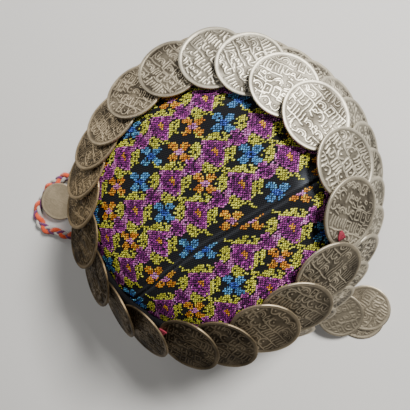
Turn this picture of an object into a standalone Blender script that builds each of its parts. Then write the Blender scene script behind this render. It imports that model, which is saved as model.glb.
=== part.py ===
"""Coin headdress: a domed cloth cap, a ring of large silver coins over a row of smaller ones, and two side drops.

Metres, +Z up. The cap stands on its rim at z = 0. The front is -Y and the ring of coins opens at the back, +Y.
Bearings are degrees counterclockwise from +X, seen from above, round the middle of the coin ring.
"""
import math

import bmesh
import bpy
import numpy as np
from mathutils import Matrix, Vector

MM = 0.001

RING_X = -4.9
RING_Y = 4.5
RING_HEIGHT = 72.0

CLOTH_SIDES = 36
CLOTH_WALL = 1.8
LEAN_BEARING = 316.0
DIP_BEARING = 285.0

COIN_RADIUS = 18.0
COIN_THICKNESS = 1.1
COIN_SIDES = 20
COIN_HOLE_RADIUS = 1.2
COIN_HOLE_INSET = 3.2

SMALL_COIN_RADIUS = 14.5
SMALL_COIN_THICKNESS = 1.0
SMALL_COIN_SIDES = 16
LOWER_COINS = 38
LOWER_TWIST = 11.0
# Bearing and slope of the small coins, in degrees.
LOWER_SLOPES = ((60.0, 58.0), (110.0, 62.0), (195.0, 62.0), (285.0, 43.0), (315.0, 54.0), (340.0, 57.0))
STUD_RADIUS = 1.1
STUD_LENGTH = 3.9
STUD_INSET = 3.0
TAPE_THICKNESS = 1.0
TAPE_WIDTH = 4.0
TAPE_STANDOFF = 1.0
TAPE_HEIGHT = 57.5
TAPE_FRONT_RISE = 1.5
TAPE_ENDS_RISE = 2.2

TIE_RADIUS = 2.5
THREAD_RADIUS = 0.6
# Distance between a cord's points, in cord radii.
ROUTE_SPACING = 4.5

# The cap's outline from the middle of the crown down to the rim, in mm. Lean is how far a level sits towards
# LEAN_BEARING, and dip is how much lower the cloth lies on the side of DIP_BEARING than in the middle.
CROWN_LEVELS = (
    # height, radius, lean, dip
    (87.0, 16.0, 0.0, 0.1),
    (85.8, 30.0, 0.0, 0.5),
    (83.7, 42.0, 0.0, 0.9),
    (80.7, 52.0, 0.0, 1.3),
    (76.8, 60.0, 0.0, 1.6),
    (72.3, 65.3, 0.2, 1.7),
)
CROWN_MIDDLE = 87.3
BAND_LEVELS = (
    # height, radius, lean, dip
    (71.8, 65.9, 0.3, 1.7),
    (67.4, 70.0, 1.0, 1.5),
    (61.5, 75.0, 2.5, 1.0),
    (52.0, 80.3, 5.5, 0.0),
    (40.0, 84.0, 7.5, 0.0),
    (26.0, 86.0, 8.0, 0.0),
    (10.0, 87.0, 8.0, 0.0),
    (0.0, 87.0, 8.0, 0.0),
)

# The ring of large coins, counterclockwise from the opening at the back. Out is the distance of a coin's middle
# from the ring's middle, lift its height over RING_HEIGHT, slope how far it leans down and outwards, and twist
# how far its counterclockwise end is raised over the next coin.
UPPER_COINS = (
    # bearing, out, lift, slope, twist
    (100, 75.0, 2.2, 30, 6.5),
    (115, 74.0, 1.0, 33, 6.0),
    (134, 71.0, 1.5, 35, 4.0),
    (150, 71.0, 0.5, 38, 10.5),
    (169, 72.5, -0.3, 46, 11.0),
    (193, 75.0, 0.0, 50, 8.5),
    (211, 75.5, -0.3, 43, 8.0),
    (232, 73.5, 2.5, 32, 9.0),
    (249, 74.0, 2.8, 27, 8.5),
    (265, 76.5, 1.85, 20, 9.0),
    (280, 77.0, 2.2, 17, 9.0),
    (298, 75.0, 2.3, 21, 7.0),
    (316, 73.0, 2.0, 25, 6.5),
    (332, 71.5, 1.5, 29, 8.5),
    (345, 71.5, 1.1, 31, 11.5),
    (359, 72.0, 1.3, 32, 13.0),
    (12, 71.5, 1.6, 31, 11.5),
    (30, 73.0, 1.9, 32, 11.0),
    (48, 75.0, 1.2, 38, 12.0),
    (65, 76.5, 1.0, 45, 14.0),
    (80, 77.0, 1.5, 39, 11.0),
)

# The two ends and the run of the plaited cord, and of the thread on the right, in mm from the ring's middle.
TIE_ROUTE = (
    (92.6, 8.6, 6.0),
    (102.0, 9.0, 4.2),
    (112.0, 9.6, 2.65),
    (122.0, 11.0, 2.65),
    (131.0, 14.5, 2.65),
    (139.5, 20.0, 2.65),
    (146.0, 28.0, 2.65),
    (149.8, 36.5, 2.65),
    (152.6, 45.0, 2.65),
    (151.8, 53.0, 2.65),
    (146.0, 58.8, 2.65),
    (137.0, 60.6, 2.65),
    (127.5, 60.6, 2.65),
    (117.5, 59.0, 2.65),
    (107.0, 55.0, 2.65),
    (97.0, 49.0, 3.4),
    (89.0, 43.4, 4.8),
    (81.3, 39.3, 6.0),
)
THREAD_ROUTE = (
    (-67.9, 40.9, 16.0),
    (-72.5, 42.2, 15.8),
    (-76.8, 43.4, 13.8),
    (-78.3, 43.9, 11.5),
    (-78.3, 43.9, 8.9),
    (-78.6, 44.0, 6.0),
    (-80.6, 44.7, 2.0),
    (-82.9, 45.8, 0.95),
    (-84.0, 48.6, 0.7),
    (-84.0, 53.0, 0.7),
)

LEFT_DROP = (134.0, 36.0, 4.25)
LEFT_DROP_TILT = 12.2
RIGHT_DROPS = (
    # x, y, z, bearing of the raised edge, tilt
    (-87.8, 49.3, 6.7, 330.0, 12.0),
    (-101.7, 40.8, 2.15, 0.0, 0.0),
    (-100.0, 47.5, 0.6, 0.0, 0.0),
)


def unit(bearing):
    """The level unit vector that points to a bearing."""
    angle = math.radians(bearing)
    return Vector((math.cos(angle), math.sin(angle), 0.0))


def from_ring(x, y, z):
    """A point given in mm from the ring's middle and the floor, in metres in the part's frame."""
    return Vector(((x + RING_X) * MM, (y + RING_Y) * MM, z * MM))


def cloth_point(bearing, level):
    """The outer face of the cloth at a bearing on a level: a circle moved by its lean, and tipped by its dip."""
    height, radius, lean, dip = level
    flat = unit(bearing) * radius + unit(LEAN_BEARING) * lean
    tip = dip * math.cos(math.radians(bearing - DIP_BEARING))
    return from_ring(flat.x, flat.y, height - tip)


def band_level(height):
    """The level of the side band at a height between two of its named levels."""
    for upper, lower in zip(BAND_LEVELS, BAND_LEVELS[1:]):
        if height >= lower[0]:
            share = (upper[0] - height) / (upper[0] - lower[0])
            return tuple(a + (b - a) * share for a, b in zip(upper, lower))
    return BAND_LEVELS[-1]


def make_material(name, colour, roughness, metallic=0.0):
    """A plain finish with one colour."""
    material = bpy.data.materials.new(name)
    material.use_nodes = True
    shader = material.node_tree.nodes["Principled BSDF"]
    shader.inputs["Base Color"].default_value = (*colour, 1.0)
    shader.inputs["Roughness"].default_value = roughness
    shader.inputs["Metallic"].default_value = metallic
    return material


def add_object(name, bm, material):
    """Put a finished bmesh into the scene as one shaded object."""
    mesh = bpy.data.meshes.new(name)
    bmesh.ops.recalc_face_normals(bm, faces=bm.faces)
    bm.to_mesh(mesh)
    bm.free()
    mesh.shade_smooth()
    mesh.set_sharp_from_angle(angle=math.radians(40))
    mesh.materials.append(material)
    piece = bpy.data.objects.new(name, mesh)
    bpy.context.scene.collection.objects.link(piece)
    return piece


def bridge(bm, upper, lower):
    """Quads between two rings of as many vertices, wound to face away from the axis."""
    count = len(upper)
    for i in range(count):
        j = (i + 1) % count
        bm.faces.new((upper[i], lower[i], lower[j], upper[j]))


def cloth_ring(bm, level):
    """One ring of cloth vertices on a level."""
    step = 360.0 / CLOTH_SIDES
    return [bm.verts.new(cloth_point(i * step, level)) for i in range(CLOTH_SIDES)]


def give_wall(piece):
    """Thicken a sheet of cloth inwards from its outer face."""
    wall = piece.modifiers.new("cloth wall", "SOLIDIFY")
    wall.thickness = CLOTH_WALL * MM
    wall.offset = -1.0
    wall.use_even_offset = True


def make_crown(material):
    """The domed top of the cap, one cloth sheet from its middle to the seam under the coins."""
    bm = bmesh.new()
    rings = [cloth_ring(bm, level) for level in CROWN_LEVELS]
    middle = bm.verts.new(from_ring(0.0, 0.0, CROWN_MIDDLE))
    for i in range(CLOTH_SIDES):
        bm.faces.new((middle, rings[0][i], rings[0][(i + 1) % CLOTH_SIDES]))
    for upper, lower in zip(rings, rings[1:]):
        bridge(bm, upper, lower)
    crown = add_object("cap_crown", bm, material)
    give_wall(crown)


def make_band(material):
    """The side of the cap, from the seam under the coins down to the rim that it stands on."""
    bm = bmesh.new()
    rings = [cloth_ring(bm, level) for level in BAND_LEVELS]
    for upper, lower in zip(rings, rings[1:]):
        bridge(bm, upper, lower)
    band = add_object("side_band", bm, material)
    give_wall(band)


def circle(bm, radius, sides, centre=(0.0, 0.0), height=0.0):
    """A ring of vertices, all in mm."""
    turns = [2 * math.pi * (i + 0.5) / sides for i in range(sides)]
    points = [(centre[0] + radius * math.cos(a), centre[1] + radius * math.sin(a)) for a in turns]
    return [bm.verts.new((x * MM, y * MM, height * MM)) for x, y in points]


def loop_edges(bm, ring):
    """The closed loop of edges round a ring of vertices."""
    return [bm.edges.new((a, b)) for a, b in zip(ring, ring[1:] + ring[:1])]


def drilled_coin(radius, thickness, sides):
    """A flat disc with one small hole near its clockwise edge, its face towards +Z."""
    bm = bmesh.new()
    hole_at = (COIN_HOLE_INSET - radius, 0.0)
    edges = loop_edges(bm, circle(bm, radius, sides, height=-thickness / 2))
    edges += loop_edges(bm, circle(bm, COIN_HOLE_RADIUS, 6, hole_at, -thickness / 2))
    bmesh.ops.triangle_fill(bm, use_beauty=True, edges=edges)
    raised = bmesh.ops.extrude_face_region(bm, geom=bm.faces[:])["geom"]
    top = [item for item in raised if isinstance(item, bmesh.types.BMVert)]
    bmesh.ops.translate(bm, vec=(0.0, 0.0, thickness * MM), verts=top)
    return bm


def coin_frame(bearing, slope, twist):
    """The turn of a coin that lies on the cap: X counterclockwise, Y up the slope and Z out of its face."""
    outward = unit(bearing)
    along = unit(bearing + 90)
    tip = math.radians(slope)
    up_slope = outward * -math.cos(tip) + Vector((0.0, 0.0, math.sin(tip)))
    normal = outward * math.sin(tip) + Vector((0.0, 0.0, math.cos(tip)))
    raised = math.radians(twist)
    x_axis = along * math.cos(raised) + normal * math.sin(raised)
    z_axis = normal * math.cos(raised) - along * math.sin(raised)
    return Matrix((x_axis, up_slope, z_axis)).transposed()


def place(piece, turn, centre):
    """Set a piece's place and turn."""
    piece.matrix_world = Matrix.Translation(centre) @ turn.to_4x4()


def make_upper_coins(material):
    """The ring of large coins, each shingled over the next one counterclockwise."""
    for number, (bearing, out, lift, slope, twist) in enumerate(UPPER_COINS, start=1):
        bm = drilled_coin(COIN_RADIUS, COIN_THICKNESS, COIN_SIDES)
        coin = add_object(f"upper_coin_{number:02d}", bm, material)
        middle = unit(bearing) * out
        centre = from_ring(middle.x, middle.y, RING_HEIGHT + lift)
        place(coin, coin_frame(bearing, slope, twist), centre)


def tape_height(bearing):
    """Height of the sewing tape's middle: higher in front and behind than at the sides of the cap."""
    front = math.cos(math.radians(bearing - 270.0))
    ends = math.cos(2 * math.radians(bearing - 280.0))
    return TAPE_HEIGHT + TAPE_FRONT_RISE * front + TAPE_ENDS_RISE * ends


def lower_slope(bearing):
    """Slope of the small coins: flattest in front on the left, where they show most, steepest behind on the right."""
    bearings, slopes = zip(*LOWER_SLOPES)
    return float(np.interp(bearing, bearings, slopes, period=360.0))


def tape_point(bearing, height, standoff):
    """A point just outside the cloth of the side band."""
    return cloth_point(bearing, band_level(height)) + unit(bearing) * standoff * MM


def make_tape(material):
    """The narrow tape round the cap that the small coins are sewn to."""
    bm = bmesh.new()
    step = 360.0 / LOWER_COINS
    corners = (
        (TAPE_WIDTH / 2, TAPE_STANDOFF),
        (TAPE_WIDTH / 2, TAPE_STANDOFF + TAPE_THICKNESS),
        (-TAPE_WIDTH / 2, TAPE_STANDOFF + TAPE_THICKNESS),
        (-TAPE_WIDTH / 2, TAPE_STANDOFF),
    )
    rings = []
    for rise, standoff in corners:
        bearings = [i * step for i in range(LOWER_COINS)]
        rings.append([bm.verts.new(tape_point(b, tape_height(b) + rise, standoff)) for b in bearings])
    for upper, lower in zip(rings, rings[1:] + rings[:1]):
        bridge(bm, upper, lower)
    return add_object("lower_coin_row", bm, material)


def studded_coin(bm, turn, hole):
    """Add one small coin to a bmesh, with the stud of thread that holds it to the tape."""
    half = SMALL_COIN_THICKNESS / 2
    drop = STUD_INSET - SMALL_COIN_RADIUS
    front = circle(bm, SMALL_COIN_RADIUS, SMALL_COIN_SIDES, (0.0, drop), half)
    back = circle(bm, SMALL_COIN_RADIUS, SMALL_COIN_SIDES, (0.0, drop), -half)
    neck = circle(bm, STUD_RADIUS, 5, height=-half)
    foot = circle(bm, STUD_RADIUS, 5, height=-STUD_LENGTH)
    bm.faces.new(front)
    bm.faces.new(foot)
    bridge(bm, front, back)
    bridge(bm, neck, foot)
    ring = [bm.edges.get((a, b)) for loop in (back, neck) for a, b in zip(loop, loop[1:] + loop[:1])]
    bmesh.ops.triangle_fill(bm, use_beauty=True, edges=ring)
    matrix = Matrix.Translation(hole) @ turn.to_4x4()
    bmesh.ops.transform(bm, matrix=matrix, verts=front + back + neck + foot)


def make_lower_row(tape_material):
    """The row of small coins under the ring, one solid with the tape that they are sewn to."""
    row = make_tape(tape_material)
    bm = bmesh.new()
    step = 360.0 / LOWER_COINS
    for i in range(LOWER_COINS):
        bearing = (i + 0.5) * step
        root = tape_point(bearing, tape_height(bearing), TAPE_STANDOFF + TAPE_THICKNESS / 2)
        turn = coin_frame(bearing, lower_slope(bearing), LOWER_TWIST)
        hole = root + turn @ Vector((0.0, 0.0, STUD_LENGTH * MM))
        studded_coin(bm, turn, hole)
    coins = add_object("small_coins", bm, tape_material)
    join = row.modifiers.new("coins sewn on", "BOOLEAN")
    join.operation = "UNION"
    join.solver = "EXACT"
    join.object = coins
    coins.hide_render = True
    coins.display_type = "WIRE"


def smooth_route(points, spacing):
    """Points at an even spacing along a smooth curve through the given ones, all in mm."""
    corners = np.array(points, dtype=float)
    padded = np.vstack([2 * corners[0] - corners[1], corners, 2 * corners[-1] - corners[-2]])
    fine = []
    for a, b, c, d in zip(padded, padded[1:], padded[2:], padded[3:]):
        for t in np.linspace(0.0, 1.0, 12, endpoint=False):
            curve = 2 * b + (c - a) * t + (2 * a - 5 * b + 4 * c - d) * t**2 + (3 * b - a - 3 * c + d) * t**3
            fine.append(curve / 2)
    fine = np.vstack([fine, corners[-1]])
    lengths = np.concatenate([[0.0], np.cumsum(np.linalg.norm(np.diff(fine, axis=0), axis=1))])
    marks = np.linspace(0.0, lengths[-1], max(2, round(lengths[-1] / spacing) + 1))
    return np.column_stack([np.interp(marks, lengths, fine[:, axis]) for axis in range(3)])


def make_cord(name, route, radius, material):
    """A plain round cord along a route given in mm from the ring's middle."""
    points = smooth_route(route, radius * ROUTE_SPACING)
    curve = bpy.data.curves.new(name, "CURVE")
    curve.dimensions = "3D"
    curve.bevel_depth = radius * MM
    curve.bevel_resolution = 2
    curve.use_fill_caps = True
    spline = curve.splines.new("POLY")
    spline.points.add(len(points) - 1)
    for spot, point in zip(spline.points, points):
        spot.co = (*from_ring(*point), 1.0)
    curve.materials.append(material)
    cord = bpy.data.objects.new(name, curve)
    bpy.context.scene.collection.objects.link(cord)


def tilted(bearing, tilt):
    """The turn of a coin that lies almost flat, with its edge at a bearing raised."""
    outward = unit(bearing)
    angle = math.radians(tilt)
    x_axis = outward * -math.cos(angle) - Vector((0.0, 0.0, math.sin(angle)))
    z_axis = Vector((0.0, 0.0, math.cos(angle))) - outward * math.sin(angle)
    return Matrix((x_axis, z_axis.cross(x_axis), z_axis)).transposed()


def make_drops(material):
    """The worn coin in the cord on the left, and three coins in a heap on the right."""
    bm = drilled_coin(SMALL_COIN_RADIUS, SMALL_COIN_THICKNESS, COIN_SIDES)
    left = add_object("left_drop_coin", bm, material)
    half_turn = Matrix.Rotation(math.pi, 3, "Z")
    place(left, tilted(0.0, LEFT_DROP_TILT) @ half_turn, from_ring(*LEFT_DROP))
    for number, (x, y, z, bearing, tilt) in enumerate(RIGHT_DROPS, start=1):
        bm = drilled_coin(SMALL_COIN_RADIUS, SMALL_COIN_THICKNESS, COIN_SIDES)
        coin = add_object(f"right_drop_coin_{number}", bm, material)
        place(coin, tilted(bearing, tilt), from_ring(x, y, z))


def main():
    """Clear the scene and make every piece."""
    for old in list(bpy.data.objects):
        bpy.data.objects.remove(old, do_unlink=True)
    black_cotton = make_material("black_embroidered_cotton", (0.03, 0.02, 0.04), 0.9)
    red_cotton = make_material("dark_red_cotton", (0.12, 0.02, 0.02), 0.9)
    silver = make_material("worn_silver", (0.62, 0.58, 0.50), 0.35, 1.0)
    wool = make_material("orange_wool", (0.75, 0.20, 0.04), 0.9)
    make_crown(black_cotton)
    make_band(red_cotton)
    make_upper_coins(silver)
    make_lower_row(silver)
    make_cord("left_tie_cord", TIE_ROUTE, TIE_RADIUS, wool)
    make_cord("right_drop_thread", THREAD_ROUTE, THREAD_RADIUS, red_cotton)
    make_drops(silver)


main()
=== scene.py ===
import math

import bmesh
import bpy
import numpy as np
from mathutils import Matrix, Vector


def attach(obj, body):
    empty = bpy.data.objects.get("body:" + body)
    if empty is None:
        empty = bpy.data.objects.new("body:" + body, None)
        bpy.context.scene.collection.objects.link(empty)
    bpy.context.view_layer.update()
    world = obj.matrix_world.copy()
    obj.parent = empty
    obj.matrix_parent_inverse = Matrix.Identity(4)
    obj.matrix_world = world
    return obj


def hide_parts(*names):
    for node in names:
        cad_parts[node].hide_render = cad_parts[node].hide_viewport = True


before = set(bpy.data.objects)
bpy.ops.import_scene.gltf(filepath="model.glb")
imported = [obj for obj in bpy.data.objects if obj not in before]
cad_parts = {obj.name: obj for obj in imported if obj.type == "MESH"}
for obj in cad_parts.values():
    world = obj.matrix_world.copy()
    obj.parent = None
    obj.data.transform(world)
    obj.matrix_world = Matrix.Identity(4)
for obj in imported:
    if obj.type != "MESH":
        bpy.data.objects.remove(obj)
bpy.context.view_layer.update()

# The view: a phone held about 20 cm over the crown, tipped a little, with a lens like 36 mm on full frame.
lens = bpy.data.cameras.new("camera")
lens.sensor_width = 36.0
lens.lens = 36.09
camera = bpy.data.objects.new("camera", lens)
camera.location = (-0.0666, -0.0192, 0.2794)
camera.rotation_euler = [math.radians(angle) for angle in (-1.633, 17.057, -164.827)]
bpy.context.scene.collection.objects.link(camera)
bpy.context.scene.camera = camera


# The left cord: three strands of wool, orange, white and purple, plaited flat. It leaves the cap under the coins,
# loops on the surface round the worn coin, and goes back under the cap's edge. Wool is soft and faintly fuzzy.
RING_MIDDLE = np.array([-4.9, 4.5, 0.0])
TIE_ROUTE = (
    # mm from the middle of the coin ring, and mm above the surface
    (92.6, 8.6, 6.0),
    (102.0, 9.0, 4.2),
    (112.0, 9.6, 2.65),
    (122.0, 11.0, 2.65),
    (131.0, 14.5, 2.65),
    (139.5, 20.0, 2.65),
    (146.0, 28.0, 2.65),
    (149.8, 36.5, 2.65),
    (152.6, 45.0, 2.65),
    (151.8, 53.0, 2.65),
    (146.0, 58.8, 2.65),
    (137.0, 60.6, 2.65),
    (127.5, 60.6, 2.65),
    (117.5, 59.0, 2.65),
    (107.0, 55.0, 2.65),
    (97.0, 49.0, 3.4),
    (89.0, 43.4, 4.8),
    (81.3, 39.3, 6.0),
)
PLAIT_REPEAT = 19.0
STRANDS = (
    # colour, radius and swing to either side, in mm
    ("orange", "#fb5a20", 1.95, 2.0),
    ("white", "#d9d0c4", 1.35, 1.9),
    ("purple", "#7c2f6c", 1.35, 1.7),
)
STRAND_CROSSING = 0.75


def linear(hex_colour, share=1.0):
    """An sRGB hex colour, or a share of its light, as the linear one that shaders use."""
    value = np.array([int(hex_colour[i:i + 2], 16) for i in (1, 3, 5)]) / 255.0
    bent = np.where(value <= 0.04045, value / 12.92, ((value + 0.055) / 1.055) ** 2.4)
    return (*(bent * share).tolist(), 1.0)


def wire(node, inputs):
    """Give a node its inputs: a value that is another node's output is linked, and any other is set."""
    for key, value in inputs.items():
        if isinstance(value, bpy.types.NodeSocket):
            node.id_data.links.new(value, node.inputs[key])
        else:
            node.inputs[key].default_value = value


def add(tree, kind, inputs, **settings):
    """Add one shader node with its settings and inputs."""
    node = tree.nodes.new("ShaderNode" + kind)
    for key, value in settings.items():
        setattr(node, key, value)
    wire(node, inputs)
    return node


def start_material(name):
    """A new material, its nodes, its shader, and the places a pattern reads: on the piece's surface and in space."""
    material = bpy.data.materials.new(name)
    material.use_nodes = True
    tree = material.node_tree
    spot = add(tree, "TexCoord", {})
    return material, tree, tree.nodes["Principled BSDF"], spot.outputs["UV"], spot.outputs["Object"]


def grid_faces(rows, columns, closed=False):
    """Corners of a grid's quads, points numbered row by row; a closed grid joins its last column to its first."""
    i, j = np.meshgrid(np.arange(rows - 1), np.arange(columns if closed else columns - 1), indexing="ij")
    k = (j + 1) % columns
    corners = (i * columns + j, i * columns + k, (i + 1) * columns + k, (i + 1) * columns + j)
    return np.column_stack([corner.ravel() for corner in corners])


def show_mesh(name, mesh, material):
    """Put a finished mesh into the scene, smooth and in its material."""
    mesh.shade_smooth()
    mesh.materials.append(material)
    piece = bpy.data.objects.new(name, mesh)
    bpy.context.scene.collection.objects.link(piece)
    return piece


def add_piece(name, points, faces, material, **values):
    """A shaded piece from points in mm. Values stay on the points: numbers, pairs as a UV map, triples as colours."""
    mesh = bpy.data.meshes.new(name)
    mesh.from_pydata(np.asarray(points) * 0.001, [], faces)
    corners = np.empty(len(mesh.loops), dtype=np.int32)
    mesh.loops.foreach_get("vertex_index", corners)
    for key, value in values.items():
        if value.ndim == 1:
            mesh.attributes.new(key, "FLOAT", "POINT").data.foreach_set("value", value)
        elif value.shape[1] == 2:
            mesh.uv_layers.new(name=key).data.foreach_set("uv", value[corners].ravel())
        else:
            colours = np.column_stack([value, np.ones(len(value))])
            mesh.attributes.new(key, "FLOAT_COLOR", "POINT").data.foreach_set("color", colours.ravel())
    return show_mesh(name, mesh, material)


def smooth_curve(points, count):
    """Catmull-Rom curve: between two points, the cubic through both with the slopes that their neighbours give."""
    p = np.asarray(points, dtype=float)
    p = np.vstack([2 * p[0] - p[1], p, 2 * p[-1] - p[-2]])
    t = np.linspace(0, len(points) - 1, count)
    i = np.minimum(t.astype(int), len(points) - 2)
    f = (t - i)[:, None]
    a, b, c, d = p[i], p[i + 1], p[i + 2], p[i + 3]
    return (2 * b + (c - a) * f + (2 * a - 5 * b + 4 * c - d) * f**2 + (3 * b - a - 3 * c + d) * f**3) / 2


def even_steps(path, spacing):
    """The same path with points an equal distance apart, and the distance of each from its start."""
    lengths = np.concatenate([[0.0], np.cumsum(np.linalg.norm(np.diff(path, axis=0), axis=1))])
    marks = np.linspace(0.0, lengths[-1], max(2, round(lengths[-1] / spacing) + 1))
    return np.column_stack([np.interp(marks, lengths, path[:, axis]) for axis in range(3)]), marks


def beside(path, reference):
    """Unit vectors across a path, square to its run and to a reference direction, and a second set square to both."""
    run = np.gradient(path, axis=0)
    run /= np.linalg.norm(run, axis=1, keepdims=True)
    side = np.cross(run, reference)
    side /= np.linalg.norm(side, axis=1, keepdims=True)
    return side, np.cross(side, run)


def full_turn(count):
    """Even bearings once round, from 0."""
    return np.linspace(0.0, 2 * np.pi, count, endpoint=False)


def tube(path, radius, sides, reference):
    """Points of a round tube, centre + radius (cos a, sin a) across the path, its end caps and its UV in mm."""
    side, top = beside(path, reference)
    angle = full_turn(sides)
    ring = side[:, None] * np.cos(angle)[:, None] + top[:, None] * np.sin(angle)[:, None]
    points = (path[:, None] + radius * ring).reshape(-1, 3)
    lengths = np.concatenate([[0.0], np.cumsum(np.linalg.norm(np.diff(path, axis=0), axis=1))])
    uv = np.column_stack([np.repeat(lengths, sides), np.tile(angle * radius, len(path))])
    faces = grid_faces(len(path), sides, closed=True)[:, ::-1].tolist()
    last = (len(path) - 1) * sides
    faces.append(list(range(sides)))
    faces.append(list(range(last + sides - 1, last - 1, -1)))
    return points, faces, uv


def plait(route):
    """Three strands along a route: each swings a sine to the side and half that wave up and down, a third apart."""
    middle, lengths = even_steps(smooth_curve(np.array(route) + RING_MIDDLE, 900), 0.55)
    side, top = beside(middle, (0.0, 0.0, 1.0))
    strands = []
    for third, (_, _, radius, swing) in enumerate(STRANDS):
        phase = 2 * np.pi * (lengths / PLAIT_REPEAT + third / 3) + 0.5 * np.sin(lengths / 9.0)
        across = (swing * np.sin(phase) * (1 + 0.25 * np.sin(lengths / 7.0 + third)))[:, None] * side
        over = STRAND_CROSSING * np.sin(2 * phase)[:, None] * top
        path = middle + across + over
        path[:, 2] = np.maximum(path[:, 2], radius + 0.05)
        strands.append(path)
    return middle, strands


def join_pieces(parts):
    """One list of points and faces from several, with the values of each kept in step."""
    points, faces, values = [], [], []
    count = 0
    for part_points, part_faces, part_values in parts:
        points.append(part_points)
        faces += [[corner + count for corner in face] for face in part_faces]
        values.append(part_values)
        count += len(part_points)
    return np.vstack(points), faces, np.vstack(values)


# Plied wool: matt, with ply lines about 1.2 mm apart along it, their valleys painted darker as painted shade, and loose
# fibres that lighten its edges.
def make_wool(name, hex_colour):
    material, tree, shader, surface, space = start_material(name)
    turned = add(tree, "Mapping", {"Vector": surface, "Rotation": (0.0, 0.0, 0.9)})
    plies = add(tree, "TexWave", {"Vector": turned.outputs["Vector"], "Scale": 0.42, "Distortion": 1.2})
    fibres = add(tree, "TexNoise", {"Vector": space, "Scale": 2600.0, "Detail": 3.0})
    height = add(tree, "Math", {0: plies.outputs["Fac"], 1: fibres.outputs["Fac"]}, operation="ADD")
    bump = add(tree, "Bump", {"Height": height.outputs[0], "Strength": 0.7, "Distance": 0.0004})
    colours = {"Color1": linear(hex_colour, 0.45), "Color2": linear(hex_colour)}
    shade = add(tree, "MixRGB", {"Fac": plies.outputs["Fac"], **colours})
    wire(shader, {"Base Color": shade.outputs[0], "Normal": bump.outputs[0], "Roughness": 0.92})
    wire(shader, {"Sheen Weight": 0.35, "Sheen Roughness": 0.5})
    return material


tie_path, tie_strands = plait(TIE_ROUTE)
tie_parts = [tube(path, strand[2], 10, (0.0, 0.0, 1.0)) for path, strand in zip(tie_strands, STRANDS)]
tie_points, tie_faces, tie_uv = join_pieces(tie_parts)
wools = [make_wool(f"{name} wool", colour) for name, colour, _, _ in STRANDS]
left_cord = add_piece("left_tie_plait", tie_points, tie_faces, wools[0], yarn=tie_uv)
for wool in wools[1:]:
    left_cord.data.materials.append(wool)
strand_faces = len(tie_parts[0][1])
left_cord.data.polygons.foreach_set("material_index", np.repeat([0, 1, 2], strand_faces).astype(np.int32))
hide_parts("left_tie_cord")
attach(left_cord, "root")


# The right thread: dark red doubled cotton that leaves the cap, drops down its side and ends in a knot in the
# hole of the first of three coins. Waxed thread, so its twist still shows.
THREAD_ROUTE = (
    # mm from the middle of the coin ring, and mm above the surface
    (-67.9, 40.9, 16.0),
    (-72.5, 42.2, 15.8),
    (-76.8, 43.4, 13.8),
    (-78.3, 43.9, 11.5),
    (-78.3, 43.9, 8.9),
    (-78.6, 44.0, 6.0),
    (-80.6, 44.7, 2.0),
    (-82.9, 45.8, 0.95),
    (-84.0, 48.6, 0.7),
    (-84.0, 53.0, 0.7),
)
THREAD_RADIUS = 0.55


# Cotton sewing thread: matt red with a fine twist, about 0.6 mm a turn, its grooves painted darker as painted shade.
def make_thread(name, hex_colour):
    material, tree, shader, surface, _ = start_material(name)
    turned = add(tree, "Mapping", {"Vector": surface, "Rotation": (0.0, 0.0, 0.8)})
    twist = add(tree, "TexWave", {"Vector": turned.outputs["Vector"], "Scale": 0.8, "Distortion": 0.6})
    colours = {"Color1": linear(hex_colour, 0.4), "Color2": linear(hex_colour)}
    shade = add(tree, "MixRGB", {"Fac": twist.outputs["Fac"], **colours})
    bump = add(tree, "Bump", {"Height": twist.outputs["Fac"], "Strength": 0.6, "Distance": 0.0002})
    wire(shader, {"Base Color": shade.outputs[0], "Normal": bump.outputs[0], "Roughness": 0.8})
    return material


red_thread = make_thread("red cotton thread", "#a0283e")
thread_path, _ = even_steps(smooth_curve(np.array(THREAD_ROUTE) + RING_MIDDLE, 300), 0.5)
thread_points, thread_faces, thread_uv = tube(thread_path, THREAD_RADIUS, 8, (0.0, 1.0, 0.2))
right_thread = add_piece("right_doubled_thread", thread_points, thread_faces, red_thread, yarn=thread_uv)
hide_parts("right_drop_thread")
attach(right_thread, "root")


# The crown: black cotton, cut in two pieces that are joined by a flat seam, and eased into a shallow dome.
# It is a plain even weave, the ground that the cross stitch is counted on; wear has greyed its high threads.
CROWN_RADIUS = 65.3
CROWN_EDGE = 69.5
CROWN_TOP = 87.3
CROWN_GRID = 160
CLOTH_WALL = 1.8
DIP_BEARING = math.radians(285.0)
SEAM_COSINE = 0.66
# Where the seam's end has a grey patch, partly worn and partly painted sheen, and the seam's way, on the flat cloth.
GREY_SPOT = (-52.5, -27.5)
SEAM_LINE = ((24.0, 62.0), (10.5, 44.7), (-3.8, 25.0), (-11.4, 16.8), (-33.9, -6.9), (-48.3, -21.8), (-62.0, -36.0))


def dome_fall(share):
    """Fall of the even dome from its top at a share q of its radius: 6.74 q² + 8.26 q⁶."""
    return 6.74 * share**2 + 8.26 * share**6


def dome_height(x, y):
    """Height of the crown: the top less the dome's fall, less a dip that grows towards one side."""
    share = np.hypot(x, y) / CROWN_RADIUS
    dip = 1.75 * share**0.6 * (x * math.cos(DIP_BEARING) + y * math.sin(DIP_BEARING)) / CROWN_RADIUS
    return CROWN_TOP - dome_fall(share) - dip


dome_radii = np.linspace(0.0, CROWN_EDGE, 400)
dome_falls = dome_fall(dome_radii / CROWN_RADIUS)
dome_arcs = np.concatenate([[0.0], np.cumsum(np.hypot(np.diff(dome_radii), np.diff(dome_falls)))])


def lay_flat(x, y):
    """Place on the cloth before it was domed: the same bearing, at the distance measured over the dome."""
    r = np.maximum(np.hypot(x, y), 1e-6)
    share = np.interp(r, dome_radii, dome_arcs) / r
    return x * share, y * share


def lay_on_dome(flat_x, flat_y):
    """Place on the dome of a point of the flat cloth."""
    arc = np.maximum(np.hypot(flat_x, flat_y), 1e-6)
    share = np.interp(arc, dome_arcs, dome_radii) / arc
    return flat_x * share, flat_y * share


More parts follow.
